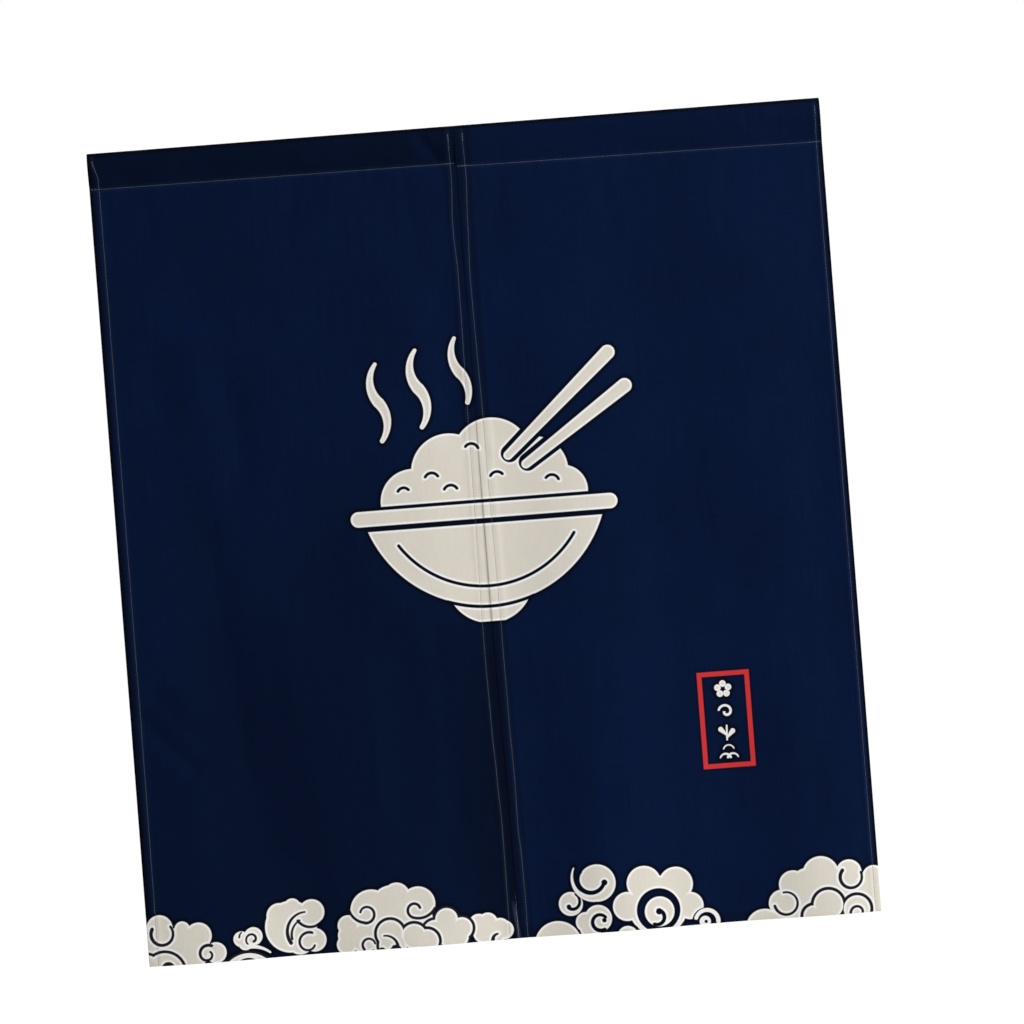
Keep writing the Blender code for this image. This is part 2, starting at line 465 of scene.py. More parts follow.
class Panel:
    """One panel of the curtain: the sizes that its cloth and its stitching share."""

    def __init__(self, name):
        self.name = name
        self.side = -1.0 if name == "panel_left" else 1.0
        self.width = WIDTH / 2.0
        self.hems = SIDE_HEMS[name]
        self.heights = POCKET_HEIGHTS[name]
        self.seams = SIDE_SEAMS[name]
        self.seed = Vector((3.7, 1.3, 8.1)) if self.side < 0.0 else Vector((9.2, 5.5, 2.4))

    def edges(self, drop):
        """The left and the right edge at a drop."""
        parted = FOOT_OPEN * ease((drop - FOOT_OPEN_DROP) / (DROP - FOOT_OPEN_DROP))
        slit_edge = follow(MEET, drop) + self.side * (CLOTH / 2.0 + parted - EDGES_PRESSED)
        return sorted((slit_edge, self.side * (WIDTH - CLOTH) / 2.0))

    def across(self, x, drop):
        """How far a place is from the panel's left edge."""
        left, right = self.edges(drop)
        return (x - left) / (right - left) * self.width

    def pocket_height(self, across):
        """How far below the top edge the rod pocket is sewn, at a place across the panel."""
        return between(*self.heights, across / self.width)

    def stack(self, across):
        """How thick each run of cloth is at a side hem's three layers, and at one layer beside it."""
        over = min(across - self.hems[0], self.width - self.hems[1] - across)
        return GAUGE * between(3.0, 1.0, ease(over / HEM_EASE))

    def pucker(self, x, drop, across):
        """The small waves that the stitching draws into the cloth beside it."""
        moved = 0.0
        for line in self.seams:
            away = abs(x - follow(line, drop))
            if away < 4.0 * PUCKER_REACH:
                along = Vector((line[0][1] * 40.0, drop / PUCKER_LENGTH * 1.6, 0.0))
                wave = noise.noise(self.seed + along)
                moved += 2.0 * PUCKER_DEPTH * wave * math.exp(-(away / PUCKER_REACH) ** 2)
                moved += SEAM_SINK * math.exp(-(away / SEAM_SINK_REACH) ** 2)
        below = drop - self.pocket_height(across)
        if abs(below) < 6.0 * PUCKER_REACH:
            wave = noise.noise(self.seed + Vector((x / PUCKER_LENGTH * 1.4, 20.0, 0.0)))
            reach = 2.6 * PUCKER_REACH if below > 0.0 else PUCKER_REACH
            moved += 3.0 * PUCKER_DEPTH * wave * math.exp(-(below / reach) ** 2)
        return moved

    def sewn(self, x, drop, across):
        """1 on a line of stitching, falling to 0 beside it: where the needle has raised a little lint."""
        away = min(abs(x - follow(line, drop)) for line in self.seams)
        if drop < self.seams[0][0][0] * 0.4:
            away = 1.0
        away = min(away, abs(drop - self.pocket_height(across)))
        return math.exp(-(away / LINT_REACH) ** 2)

    def slit_line(self, x, drop):
        """1 where the panels' edges meet, falling to 0 beside it: the painted shadow in the gap between
        them.
        """
        open_share = ease((drop - 0.300) / 0.150)
        shown = between(SEWN_SHADE, 1.0, open_share) * ease((DROP - 0.020 - drop) / 0.030)
        return shown * math.exp(-((x - follow(MEET, drop)) / SLIT_LINE) ** 2)

    def rest(self, x, drop):
        """How far back the cloth's front face lies: folds, fine creases, unevenness and puckers."""
        across = self.across(x, drop)
        height = self.pocket_height(across)
        hung = max(drop, height)
        near_slit = math.exp(-(x / SLIT_STEP_REACH) ** 2)
        free = max(drop - SEWN_DROP, 0.0) / (DROP - SEWN_DROP)
        back = lie(x, hung) + self.side * SLIT_STEP * near_slit * math.sin(math.pi * free)
        back += folds_at(x, hung, CREASES)
        uneven = noise.fractal(self.seed + Vector((x, 0.0, 0.6 * drop)) / UNEVEN_SIZE, 1.0, 2.0, 3)
        back += UNEVEN_DEPTH * uneven
        back -= HEM_FORWARD * (self.stack(across) / GAUGE - 1.0) / 2.0
        return (back + self.pucker(x, drop, across)) * min(drop / height, 1.0)

    def pocket_back(self, drop, across):
        """How far behind the front face's rest the back of the rod pocket lies."""
        height = self.pocket_height(across)
        angle = 2.0 * math.pi - pocket_angle(drop, height)
        return -POCKET_BACK * swell(angle) + 3.0 * self.stack(across) * (drop / height) ** 2

    def pocket_front(self, drop, across, x):
        """How far the front of the rod pocket lies from the rest of its line of stitching."""
        height = self.pocket_height(across)
        bulge = swell(pocket_angle(drop, height))
        full = 1.0 + POCKET_UNEVEN * noise.noise(self.seed + Vector((x * POCKET_SWELLS, 0.0, 31.0)))
        return -POCKET_FRONT * bulge * full + folds_at(x, drop, POCKET_DENTS) * min(2.0 * bulge, 1.0)

    def front_face(self, x, drop):
        """The point of the printed front at a place."""
        across = self.across(x, drop)
        bulge = 0.0
        if drop < self.pocket_height(across):
            bulge = self.pocket_front(drop, across, x)
        return Vector((x, self.rest(x, drop) + bulge, -drop))

    def back_face(self, x, drop, layers):
        """The point behind so many layers of cloth at a place."""
        return Vector((x, self.rest(x, drop) + layers * GAUGE, -drop))

    def behind_hem(self, x, drop):
        """The point behind a hem of three layers, each as thick as the cloth's stack at a place."""
        return self.back_face(x, drop, 3.0 * self.stack(self.across(x, drop)) / GAUGE)

    def hem_across(self, hem):
        """Places across a side hem on the left, from its raw edge to the front, with the layer of each."""
        inner = hem - 0.5 * GAUGE
        points = run((RAW_INSET, 1.0), (inner, 1.0), HEM_STEPS)
        points += half_turn((inner, 1.5), 0.5, (0.0, -1.0), (GAUGE, 0.0), TURN_STEPS)
        points += run((inner, 2.0), (GAUGE, 2.0), HEM_STEPS)
        points += half_turn((GAUGE, 1.0), 1.0, (0.0, 1.0), (-GAUGE, 0.0), TURN_STEPS)
        points += run((GAUGE, 0.0), (hem, 0.0), HEM_FRONT_STEPS)
        return points + run((hem, 0.0), (hem + HEM_EASE, 0.0), EASE_STEPS)

    def columns(self):
        """Columns from raw edge to raw edge: place across the panel, layer, and place on the flat cloth."""
        left = self.hem_across(self.hems[0])
        right = [(self.width - across, layer) for across, layer in self.hem_across(self.hems[1])]
        start = self.hems[0] + HEM_EASE
        end = self.width - self.hems[1] - HEM_EASE
        points = left + run((start, 0.0), (end, 0.0), FIELD_STEPS) + [(end, 0.0)] + right[::-1]
        flat = [0.0]
        for (before, layer_before), (after, layer_after) in zip(points, points[1:]):
            step = math.hypot(after - before, (layer_after - layer_before) * GAUGE)
            flat.append(flat[-1] + step)
        shift = start - flat[len(left)]
        return [(across, layer, place + shift) for (across, layer), place in zip(points, flat)]

    def section(self, across, x):
        """The printed face in a cut down the panel, from the foot hem's raw edge to the pocket's."""
        stack = self.stack(across)
        height = self.pocket_height(across)
        hem_top = DROP - FOOT_HEM
        foot = DROP - 1.5 * stack
        tail = height + POCKET_TAIL - stack
        up = (0.0, -1.0)
        down = (0.0, 1.0)
        forward = (-1.0, 0.0)
        backward = (1.0, 0.0)
        points = run((stack, DROP - FOOT_RAW), (stack, hem_top + stack), HEM_STEPS)
        points += half_turn((2.0 * stack, hem_top + stack), stack, forward, up, TURN_STEPS)
        points += run((3.0 * stack, hem_top + stack), (3.0 * stack, foot), HEM_STEPS)
        points += half_turn((1.5 * stack, foot), 1.5 * stack, backward, down, TURN_STEPS)
        points += run((0.0, foot), (0.0, height + SEAM_ROWS), FRONT_STEPS)
        points += run((0.0, height + SEAM_ROWS), (0.0, height), SEAM_STEPS)
        for step in range(POCKET_STEPS):
            angle = 2.0 * math.pi * step / POCKET_STEPS
            drop = height * (1.0 + math.cos(angle)) / 2.0
            front = angle < math.pi
            back = self.pocket_front(drop, across, x) if front else self.pocket_back(drop, across)
            points.append((back, drop))
        points += run((3.0 * stack, height), (3.0 * stack, tail), 2)
        points += half_turn((2.0 * stack, tail), stack, backward, down, TURN_STEPS)
        points += run((stack, tail), (stack, height), 2)
        for step in range(HEM_STEPS + 1):
            drop = height - POCKET_RAW * step / HEM_STEPS
            points.append((self.pocket_back(drop, across) - 2.0 * stack, drop))
        return points

    def down_cloth(self, across):
        """The section's points with the way that each faces and their place along the flat cloth."""
        left = self.edges(0.0)[0]
        points = self.section(across, left + across)
        placed = []
        length = 0.0
        for place, (back, drop) in enumerate(points):
            before = points[max(place - 1, 0)]
            after = points[min(place + 1, len(points) - 1)]
            way = Vector((after[0] - before[0], after[1] - before[1])).normalized()
            length += math.hypot(back - before[0], drop - before[1])
            placed.append((back, drop, way.y, -way.x, length))
        first_front = 2 * (HEM_STEPS + TURN_STEPS)
        shift = placed[first_front][4] + placed[first_front][1] - DROP
        return [(back, drop, out, down, length - shift) for back, drop, out, down, length in placed]


def cloth_sheet(panel):
    """The sheet of one panel, midway through the cloth, with its hems and its pocket turned."""
    columns = panel.columns()
    sections = [panel.down_cloth(min(max(across, 0.0), panel.width)) for across, _, _ in columns]
    last_column = len(columns) - 1
    last_row = len(sections[0]) - 1

    sheet = bmesh.new()
    bmesh.ops.create_grid(sheet, x_segments=last_column, y_segments=last_row, size=0.5)
    places = sheet.verts.layers.float_vector.new("cloth_place")
    backlight_shade = sheet.verts.layers.float.new("cloth_backlight_shade")
    sewn = sheet.verts.layers.float.new("cloth_sewn")
    at_slit = sheet.verts.layers.float.new("cloth_slit")
    for vert in sheet.verts:
        column = round((vert.co.x + 0.5) * last_column)
        row = round((vert.co.y + 0.5) * last_row)
        across, layer, flat = columns[column]
        back, drop, out, down, height = sections[column][row]
        sunk = (layer + 0.5) * GAUGE
        drop -= down * sunk
        left, right = panel.edges(drop)
        x = between(left, right, across / panel.width)
        vert.co = (x, back - out * sunk + panel.rest(x, max(drop, 0.0)), -drop)
        printed = (left + WIDTH / 2.0) + flat * (right - left) / panel.width
        vert[places] = (printed, height, 0.0)
        vert[sewn] = panel.sewn(x, drop, across)
        vert[at_slit] = panel.slit_line(x, drop)
        in_pocket = 1.0 if drop < panel.pocket_height(across) else 0.0
        in_foot_hem = 1.0 if drop > DROP - FOOT_HEM else 0.0
        in_hem = (panel.stack(across) / GAUGE - 1.0) / 2.0
        hem_shade = 1.0 if abs(x) < WIDTH / 4.0 else OUTER_HEM_SHADE
        # Painted shade where the hems, the pocket and the foot hem let less light through from behind
        vert[backlight_shade] = (
            in_hem * hem_shade + in_pocket * POCKET_SHADE[panel.name] + in_foot_hem * FOOT_HEM_SHADE
        )
    mesh = bpy.data.meshes.new(panel.name + "_cloth")
    sheet.to_mesh(mesh)
    sheet.free()
    return mesh


def put_in_scene(name, data):
    """A new object in the scene."""
    item = bpy.data.objects.new(name, data)
    bpy.context.scene.collection.objects.link(item)
    return item


def lay_out_map(mesh):
    """The piece's own map: the printed side on its left two thirds and the reverse beside it."""
    places = mesh.attributes["cloth_place"].data
    across = [item.vector.x for item in places]
    height = [item.vector.y for item in places]
    low = Vector((min(across), min(height)))
    size = Vector((max(across), max(height))) - low
    layer = mesh.uv_layers.new(name="OFBake")
    for face in mesh.polygons:
        start, share = PRINTED_SPAN if face.material_index == PLAIN else REVERSE_SPAN
        for corner in face.loop_indices:
            vert = mesh.loops[corner].vertex_index
            u = start + share * (across[vert] - low.x) / size.x
            v = MAP_MARGIN + (1.0 - 2.0 * MAP_MARGIN) * (height[vert] - low.y) / size.y
            layer.uv[corner].vector = (u, v)
    return size


def in_zone(place, middle, reach):
    """Whether a place lies in the part of the cloth round a middle."""
    return abs(place.x - middle[0]) < reach[0] and abs(place.y - middle[1]) < reach[1]


def choose_prints(mesh):
    """Gives the faces of the printed side the part of the print that reaches them."""
    places = mesh.attributes["cloth_place"].data
    for face in mesh.polygons:
        if face.material_index == BACK:
            continue
        place = places[face.vertices[0]].vector / MM
        if place.y < BORDER_TOP:
            face.material_index = BORDER
        elif in_zone(place, BOWL_MIDDLE, BOWL_REACH):
            face.material_index = BOWL_PART
        elif in_zone(place, FRAME_MIDDLE, FRAME_REACH):
            face.material_index = FRAMED


def make_cloth(panel, materials):
    """One panel's cloth, with its thickness, its printed side and its reverse."""
    piece = put_in_scene(panel.name + "_cloth", cloth_sheet(panel))
    for material in materials:
        piece.data.materials.append(material)
    solid = piece.modifiers.new("thickness", "SOLIDIFY")
    solid.thickness = CLOTH
    solid.offset = 0.0
    solid.use_quality_normals = True
    solid.material_offset = 1
    solid.material_offset_rim = 1
    with bpy.context.temp_override(object=piece):
        bpy.ops.object.modifier_apply(modifier=solid.name)
    piece.data.shade_smooth()
    flat = lay_out_map(piece.data)
    choose_prints(piece.data)
    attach(piece, "root")
    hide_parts(panel.name)
    return piece, flat


def model_stitch():
    """One stitch of thread along X: a thin round body that sinks into the cloth at both ends."""
    bpy.ops.mesh.primitive_uv_sphere_add(segments=6, ring_count=5, radius=0.5)
    stitch = bpy.context.active_object
    stitch.rotation_euler = (0.0, math.pi / 2.0, 0.0)
    stitch.scale = (THREAD, THREAD, STITCH_LENGTH)
    bpy.ops.object.transform_apply(location=False, rotation=True, scale=True)
    for vert in stitch.data.vertices:
        share = 2.0 * vert.co.x / STITCH_LENGTH
        fuller = 1.0 + 0.5 * abs(share) ** 2 if abs(share) < 0.95 else 1.0
        vert.co.y *= fuller
        vert.co.z = vert.co.z * fuller - 0.45 * THREAD * share ** 4
    stitch.data.shade_smooth()
    return stitch


def lay_stitch(seam, mesh, start, end, outward, shift):
    """Adds one stitch to a seam, from start to end, lying on the cloth and moved to the side."""
    along = (end - start).normalized()
    beside = outward.cross(along).normalized()
    raised = along.cross(beside)
    middle = (start + end) / 2.0 + beside * shift + raised * (THREAD / 2.0 - THREAD_SUNK)
    turn = Matrix((along, beside, raised)).transposed().to_4x4()
    count = len(seam.verts)
    seam.from_mesh(mesh)
    seam.verts.ensure_lookup_table()
    bmesh.ops.transform(seam, matrix=Matrix.Translation(middle) @ turn, verts=seam.verts[count:])


def sew(seam, mesh, points, outward, shift=0.0):
    """A row of stitches along the points of a seam, one for each step."""
    fill = STITCH_LENGTH / STITCH_PITCH
    for start, end in zip(points, points[1:]):
        lay_stitch(seam, mesh, start, start.lerp(end, fill), outward, shift)


def steps_along(start, end, pitch):
    """Places a pitch apart from start to end."""
    count = max(round((end - start) / pitch), 1)
    return [between(start, end, step / count) for step in range(count + 1)]


def sew_panel(panel, mesh, material):
    """The stitching of one panel: side hems and rod pocket on both faces, the foot hem on the back."""
    seam = bmesh.new()
    left, right = panel.edges(0.0)
    foot_top = DROP - FOOT_HEM
    for line in panel.seams:
        drops = steps_along(line[0][0], DROP - FROM_EDGE, STITCH_PITCH)
        row = [panel.front_face(follow(line, drop), drop) for drop in drops]
        sew(seam, mesh, row, FRONT)
        tacks = sum(drop < line[0][0] + BACKTACK for drop in drops)
        sew(seam, mesh, row[:tacks], FRONT, BACKTACK_SHIFT)
        behind = steps_along(panel.heights[1] + POCKET_TAIL + 0.5 * MM, foot_top - 0.5 * MM, STITCH_PITCH)
        sew(seam, mesh, [panel.back_face(follow(line, drop), drop, 3.0) for drop in behind], BEHIND)

    places = steps_along(left + FROM_EDGE, right - FROM_EDGE, STITCH_PITCH)
    drops = [panel.pocket_height(panel.across(x, DROP / 20.0)) for x in places]
    pocket = [panel.front_face(x, drop) for x, drop in zip(places, drops)]
    sew(seam, mesh, pocket, FRONT)
    tacks = round(BACKTACK / STITCH_PITCH) + 1
    sew(seam, mesh, pocket[:tacks], FRONT, BACKTACK_SHIFT)
    sew(seam, mesh, pocket[-tacks:], FRONT, BACKTACK_SHIFT)
    sew(seam, mesh, [panel.behind_hem(x, drop) for x, drop in zip(places, drops)], BEHIND)
    hem_line = foot_top + HEM_LINE
    sew(seam, mesh, [panel.behind_hem(x, hem_line) for x in places], BEHIND)
    return seam_piece(panel.name + "_stitching", seam, material)


def join_panels(panels, mesh, material):
    """Small stitches across the back of both panels' edges, down to where the slit starts."""
    seam = bmesh.new()
    left, right = panels
    for drop in steps_along(right.heights[1] + 2.0 * POCKET_TAIL, SEWN_DROP, JOIN_PITCH):
        start = left.back_face(-JOIN_REACH, drop, 3.0)
        end = right.back_face(JOIN_REACH, drop + JOIN_SLANT, 3.0)
        lay_stitch(seam, mesh, start, end, BEHIND, 0.0)
    return seam_piece("joining_stitches", seam, material)


def seam_piece(name, seam, material):
    """Makes a piece of a seam's stitches."""
    mesh = bpy.data.meshes.new(name)
    seam.to_mesh(mesh)
    seam.free()
    mesh.materials.append(material)
    piece = put_in_scene(name, mesh)
    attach(piece, "root")
    return piece


class Wire:
    """One socket of a material's nodes. Python's operators on it add Math nodes."""

    def __init__(self, tree, socket=None):
        self.tree = tree
        self.socket = socket

    def node(self, kind, settings=None, inputs=None, output=0):
        """Adds a node, its settings first and then its sockets' values or links. Gives one output."""
        made = self.tree.nodes.new(kind)
        for name, value in (settings or {}).items():
            setattr(made, name, value)
        for name, value in (inputs or {}).items():
            if isinstance(value, Wire):
                self.tree.links.new(value.socket, made.inputs[name])
            else:
                made.inputs[name].default_value = value
        return Wire(self.tree, made.outputs[output])

    def math(self, operation, *values):
        """A Math node on this socket and others."""
        inputs = dict(enumerate((self,) + values))
        return self.node("ShaderNodeMath", {"operation": operation}, inputs)

    def vector(self, operation, *values, output=0):
        """A Vector Math node on this socket and others."""
        inputs = dict(enumerate((self,) + values))
        return self.node("ShaderNodeVectorMath", {"operation": operation}, inputs, output)

    def __add__(self, other):
        return self.math("ADD", other)

    __radd__ = __add__

    def __sub__(self, other):
        return self.math("SUBTRACT", other)

    def __rsub__(self, other):
        return self.node("ShaderNodeMath", {"operation": "SUBTRACT"}, {0: other, 1: self})

    def __mul__(self, other):
        return self.math("MULTIPLY", other)

    __rmul__ = __mul__

    def __pow__(self, other):
        return self.math("POWER", other)

    def __neg__(self):
        return self.math("MULTIPLY", -1.0)

    def __abs__(self):
        return self.math("ABSOLUTE")

    def least(self, other):
        """The smaller of two values."""
        return self.math("MINIMUM", other)

    def most(self, other):
        """The larger of two values."""
        return self.math("MAXIMUM", other)

    def step(self, low, high):
        """0 below low, 1 above high, and smooth between."""
        settings = {"interpolation_type": "SMOOTHSTEP"}
        inputs = {"Value": self, "From Min": low, "From Max": high}
        return self.node("ShaderNodeMapRange", settings, inputs)

    def mix(self, first, second):
        """A colour between two, by this share."""
        return self.node("ShaderNodeMix", {"data_type": "RGBA"}, {0: self, 6: first, 7: second}, 2)

    def vector_of(self, value):
        """A fixed vector or colour as the start of a sum."""
        return self.node("ShaderNodeCombineXYZ", None, dict(enumerate(value)))

    def scale(self, factor):
        """A vector or colour made larger or smaller."""
        return self.node("ShaderNodeVectorMath", {"operation": "SCALE"}, {0: self, "Scale": factor})

    def grain(self, size, detail=2.0, rough=0.5):
        """Noise over a place, from 0 to 1. Size is how many swells one unit holds, along each axis."""
        place = self.vector("MULTIPLY", size)
        inputs = {"Vector": place, "Scale": 1.0, "Detail": detail, "Roughness": rough}
        return place.node("ShaderNodeTexNoise", None, inputs, "Fac")

    def disc(self, x, height, radius):
        """How far this place lies outside a disc."""
        return self.vector("DISTANCE", (x, height, 0.0), output="Value") - radius

    def arc(self, x, height, radius, end_radius, start, end, width, end_width):
        """How far this place lies outside a tapering arc with round ends."""
        middle = math.radians(start + end) / 2.0
        half = math.radians(abs(end - start)) / 2.0
        way = 1.0 if end > start else -1.0
        settings = {"vector_type": "TEXTURE"}
        inputs = {"Vector": self, "Location": (x, height, 0.0), "Rotation": (0.0, 0.0, middle)}
        local = self.node("ShaderNodeMapping", settings, inputs)
        angle = local.part(1).math("ARCTAN2", local.part(0))
        share = (angle * (way / (2.0 * half)) + 0.5).most(0.0).least(1.0)
        radial = local.vector("LENGTH", output="Value") - share * (end_radius - radius) - radius
        over = (abs(angle) - half).most(0.0) * min(radius, end_radius)
        away = (radial * radial + over * over).math("SQRT")
        return away - share * ((end_width - width) / 2.0) - width / 2.0

    def stroke(self, start, end):
        """How far this place lies outside a straight tapering stroke with round ends."""
        along = Vector((end[0] - start[0], end[1] - start[1], 0.0))
        from_start = self.vector("SUBTRACT", (start[0], start[1], 0.0))
        share = from_start.vector("DOT_PRODUCT", along / along.length_squared, output="Value")
        share = share.most(0.0).least(1.0)
        away = from_start.vector("DISTANCE", self.vector_of(along).scale(share), output="Value")
        return away - share * (end[2] - start[2]) - start[2]

    def part(self, axis):
        """One part of a vector."""
        return self.node("ShaderNodeSeparateXYZ", None, {0: self}, axis)


def new_material(name):
    """A material with its Principled shader and its output."""
    material = bpy.data.materials.new(name)
    material.use_nodes = True
    tree = material.node_tree
    return material, Wire(tree), tree.nodes["Principled BSDF"]


# Colours
NAVY = (0.0010, 0.0081, 0.0430, 1.0)
NAVY_DEEP = (0.0006, 0.0055, 0.0265, 1.0)
CREAM = (0.735, 0.695, 0.624, 1.0)
CREAM_WARM = (0.690, 0.642, 0.556, 1.0)
RIM = (0.930, 0.925, 0.915, 1.0)
INK = (0.0110, 0.0100, 0.0150, 1.0)
RED = (0.600, 0.036, 0.040, 1.0)
REVERSE = (0.0170, 0.0300, 0.0760)
REVERSE_CREAM = (0.150, 0.160, 0.200, 1.0)
THREAD_COLOR = (0.190, 0.210, 0.260)
LINT = (0.0052, 0.0084, 0.0160)
# Painted highlight on the top fold
TOP_HIGHLIGHT = (0.0480, 0.0530, 0.0600)
# Painted highlight on the folded edge at the slit's foot
FOOT_HIGHLIGHT = (0.0220, 0.0260, 0.0440)

# The weave's pitch and the print's soft edges, in millimetres
WEAVE = 0.75
SOFT = 0.5

# The print's pale rim inside its edge, and the dark ground outside it, in millimetres from the edge
RIM_SPAN = (1.2, 3.4)
AROUND_SPAN = (1.4, 5.6)
AROUND_TONE = 0.28

# The foot of the slit in the print: how far across it is, and how much it leans for each step up
SLIT_FOOT = 409.6
SLIT_LEAN = 0.091


def union(place, layer):
    """How far a place lies outside all the shapes of one layer of the print."""
    found = [place.disc(*disc) for disc in layer["discs"]]
    found += [place.arc(*arc) for arc in layer["arcs"]]
    found += [place.stroke(*stroke) for stroke in layer["strokes"]]
    whole = found[0]
    for shape in found[1:]:
        whole = whole.least(shape)
    if layer["low"] is not None:
        whole = whole.most(layer["low"] - place.part(1))
    if layer["high"] is not None:
        whole = whole.most(place.part(1) - layer["high"])
    return whole


def paint(place, layers):
    """How far a place lies outside the cream and the ink, with all the print's layers laid."""
    cream = None
    ink = None
    for layer in layers:
        shape = union(place, layer)
        if layer["paint"] == "ink":
            ink = ink.least(shape) if ink else shape
            continue
        if layer["paint"] == "bare":
            cream = cream.most(-shape)
            continue
        cream = cream.least(shape) if cream else shape
        ink = ink.most(-shape) if ink else None
        if layer["paint"] == "edged":
            line = abs(shape) - layer["edge"] / 2.0
            ink = ink.least(line) if ink else line
    return cream, ink


def woven(place):
    """The weave: how high its threads stand, and which of them lies on top."""
    across = (place.part(0) * (math.pi / WEAVE)).math("SINE")
    up = (place.part(1) * (math.pi / WEAVE)).math("SINE")
    over = across * up
    thick = place.grain((1.3, 0.06, 0.0), 1.0)
    height = abs(over) ** 0.5 * (thick * 0.5 + 0.75)
    return height, over


def carried(wire, name, output="Fac"):
    """A value that the sheet carries at each of its points."""
    return wire.node("ShaderNodeAttribute", {"attribute_name": name}, output=output)


def cloth_place(wire):
    """The place on the flat cloth in millimetres."""
    return carried(wire, "cloth_place", "Vector").scale(1.0 / MM)


def streaked(place):
    """Streaks along the warp, from 0 to 1."""
    return place.grain((0.42, 0.012, 0.0), 3.0, 0.6)


def below(value, low, high):
    """1 below low, 0 above high, and smooth between."""
    return 1.0 - value.step(low, high)


def finish_cloth(shader, color, height, over):
    """Gives a cloth's shader its colour, broken up by the weave with painted shade between its raised
    threads, and the weave's relief.
    """
    # Painted shade: darker between the weave's raised threads, and shifted by which thread lies on top
    lit = color.scale(over * 0.10 + height * 0.12 + 0.92)
    color.tree.links.new(lit.socket, shader.inputs["Base Color"])
    inputs = {"Height": height, "Distance": 0.00010, "Strength": 0.7}
    relief = height.node("ShaderNodeBump", None, inputs, "Normal")
    color.tree.links.new(relief.socket, shader.inputs["Normal"])
    shader.inputs["Roughness"].default_value = 0.90
    shader.inputs["Specular IOR Level"].default_value = 0.06


def dye_and_painted_shade(place):
    """The dark blue of the dye, streaked and patchy, with painted fold shade low on the left panel and a
    little darker over the left panel.
    """
    across = place.part(0)
    bars = place.grain((0.014, 0.30, 0.0), 2.0, 0.6)
    patches = place.grain((0.010, 0.008, 0.0), 2.0, 0.5)
    share = (streaked(place) - 0.5) * 1.1 + (bars - 0.5) * 0.5 + (patches - 0.5) * 0.9 + 0.5
    # Painted shade of the folds low on the left panel, weaker near its outer edge
    low_left_painted_shade = below(across, 330.0, 430.0) * below(place.part(1), 60.0, 620.0)
    low_left_painted_shade = low_left_painted_shade * (across.step(20.0, 110.0) * 0.6 + 0.4)
    share = share - low_left_painted_shade * 0.85 - below(across, 300.0, 440.0) * 0.12
    return share.most(0.0).least(1.0).mix(NAVY_DEEP, NAVY)


def shade(place, body, backlight_shade):
    """How light the ground looks: darker along the outer and top edges, with painted shade where several
    layers of cloth let less light through, and painted fold shade low on the left panel, by the slit and in
    one fold further out.
    """
    across = place.part(0)
    half = WIDTH / MM / 2.0
    from_sides = (body.part(0) + half).step(0.8, 8.0) * (half - body.part(0)).step(0.8, 5.0)
    from_edge = from_sides * (-body.part(2)).step(1.0, 6.5) * 0.85 + 0.15
    # Painted shade where several layers of cloth let less light through
    layered = 1.0 - backlight_shade.least(1.8) * 0.28
    # Painted shade of the folds low on the left panel, by the slit and further out
    by_slit = across.step(330.0, 398.0) * below(across, 408.0, 418.0)
    in_fold = across.step(60.0, 120.0) * below(across, 210.0, 265.0)
    shaded = 1.0 - below(place.part(1), 220.0, 470.0) * (by_slit * 0.40 + in_fold * 0.14)
    return from_edge * layered * shaded


def ground_cotton(place, wire):
    """The ground of dye and painted shade, with lint where it is sewn, and painted highlights at the slit's
    foot and along the top edge.
    """
    body = wire.node("ShaderNodeTexCoord", output="Object").scale(1.0 / MM)
    ground = dye_and_painted_shade(place).scale(shade(place, body, carried(wire, "cloth_backlight_shade")))
    tuft = place.grain((0.6, 0.6, 0.0), 2.0, 0.6).step(0.25, 0.75) * 0.6 + 0.4
    # Painted highlight where the folded edge at the slit's foot catches light
    from_slit = abs(place.part(0) + place.part(1) * SLIT_LEAN - SLIT_FOOT)
    slit_foot_highlight = below(from_slit, 0.6, 3.2) * below(place.part(1), 28.0, 46.0)
    # Painted highlight in patches where the top fold catches light
    top_edge_highlight = place.grain((0.028, 0.0, 0.0), 2.0, 0.6).step(0.48, 0.66) * below(-body.part(2), 0.4, 1.8)
    # Lint along the stitching, then the painted highlights at the slit's foot and on the top fold
    lint_and_highlights = ((LINT, carried(wire, "cloth_sewn") * tuft), (FOOT_HIGHLIGHT, slit_foot_highlight), (TOP_HIGHLIGHT, top_edge_highlight))
    for color, amount in lint_and_highlights:
        ground = ground.vector("ADD", wire.vector_of(color).scale(amount))
    return ground


def printed_cotton(name, layers=(), framed=False):
    """The printed side of the cloth, with a set of the print's layers."""
    material, wire, shader = new_material(name)
    place = cloth_place(wire)
    height, over = woven(place)
    color = ground_cotton(place, wire)
    if layers:
        cream, ink = paint(place, layers)
        if framed:
            color = add_frame(place, color)
        inside = (-cream).least(ink) if ink else -cream
        tone = place.grain((0.30, 0.05, 0.0), 3.0, 0.6).mix(CREAM_WARM, CREAM)
        pale = (below(inside, *RIM_SPAN) * 0.85).mix(tone, RIM)
        color = color.scale(cream.step(*AROUND_SPAN) * (1.0 - AROUND_TONE) + AROUND_TONE)
        color = below(cream, -SOFT, SOFT).mix(color, pale)
        if ink:
            shown = below(ink, -SOFT, SOFT) * below(cream, SOFT, 3.0 * SOFT)
            color = shown.mix(color, INK)
    # Painted shadow in the gap where the panels' edges meet
    finish_cloth(shader, color.scale(1.0 - carried(wire, "cloth_slit") * 0.5), height, over)
    return material


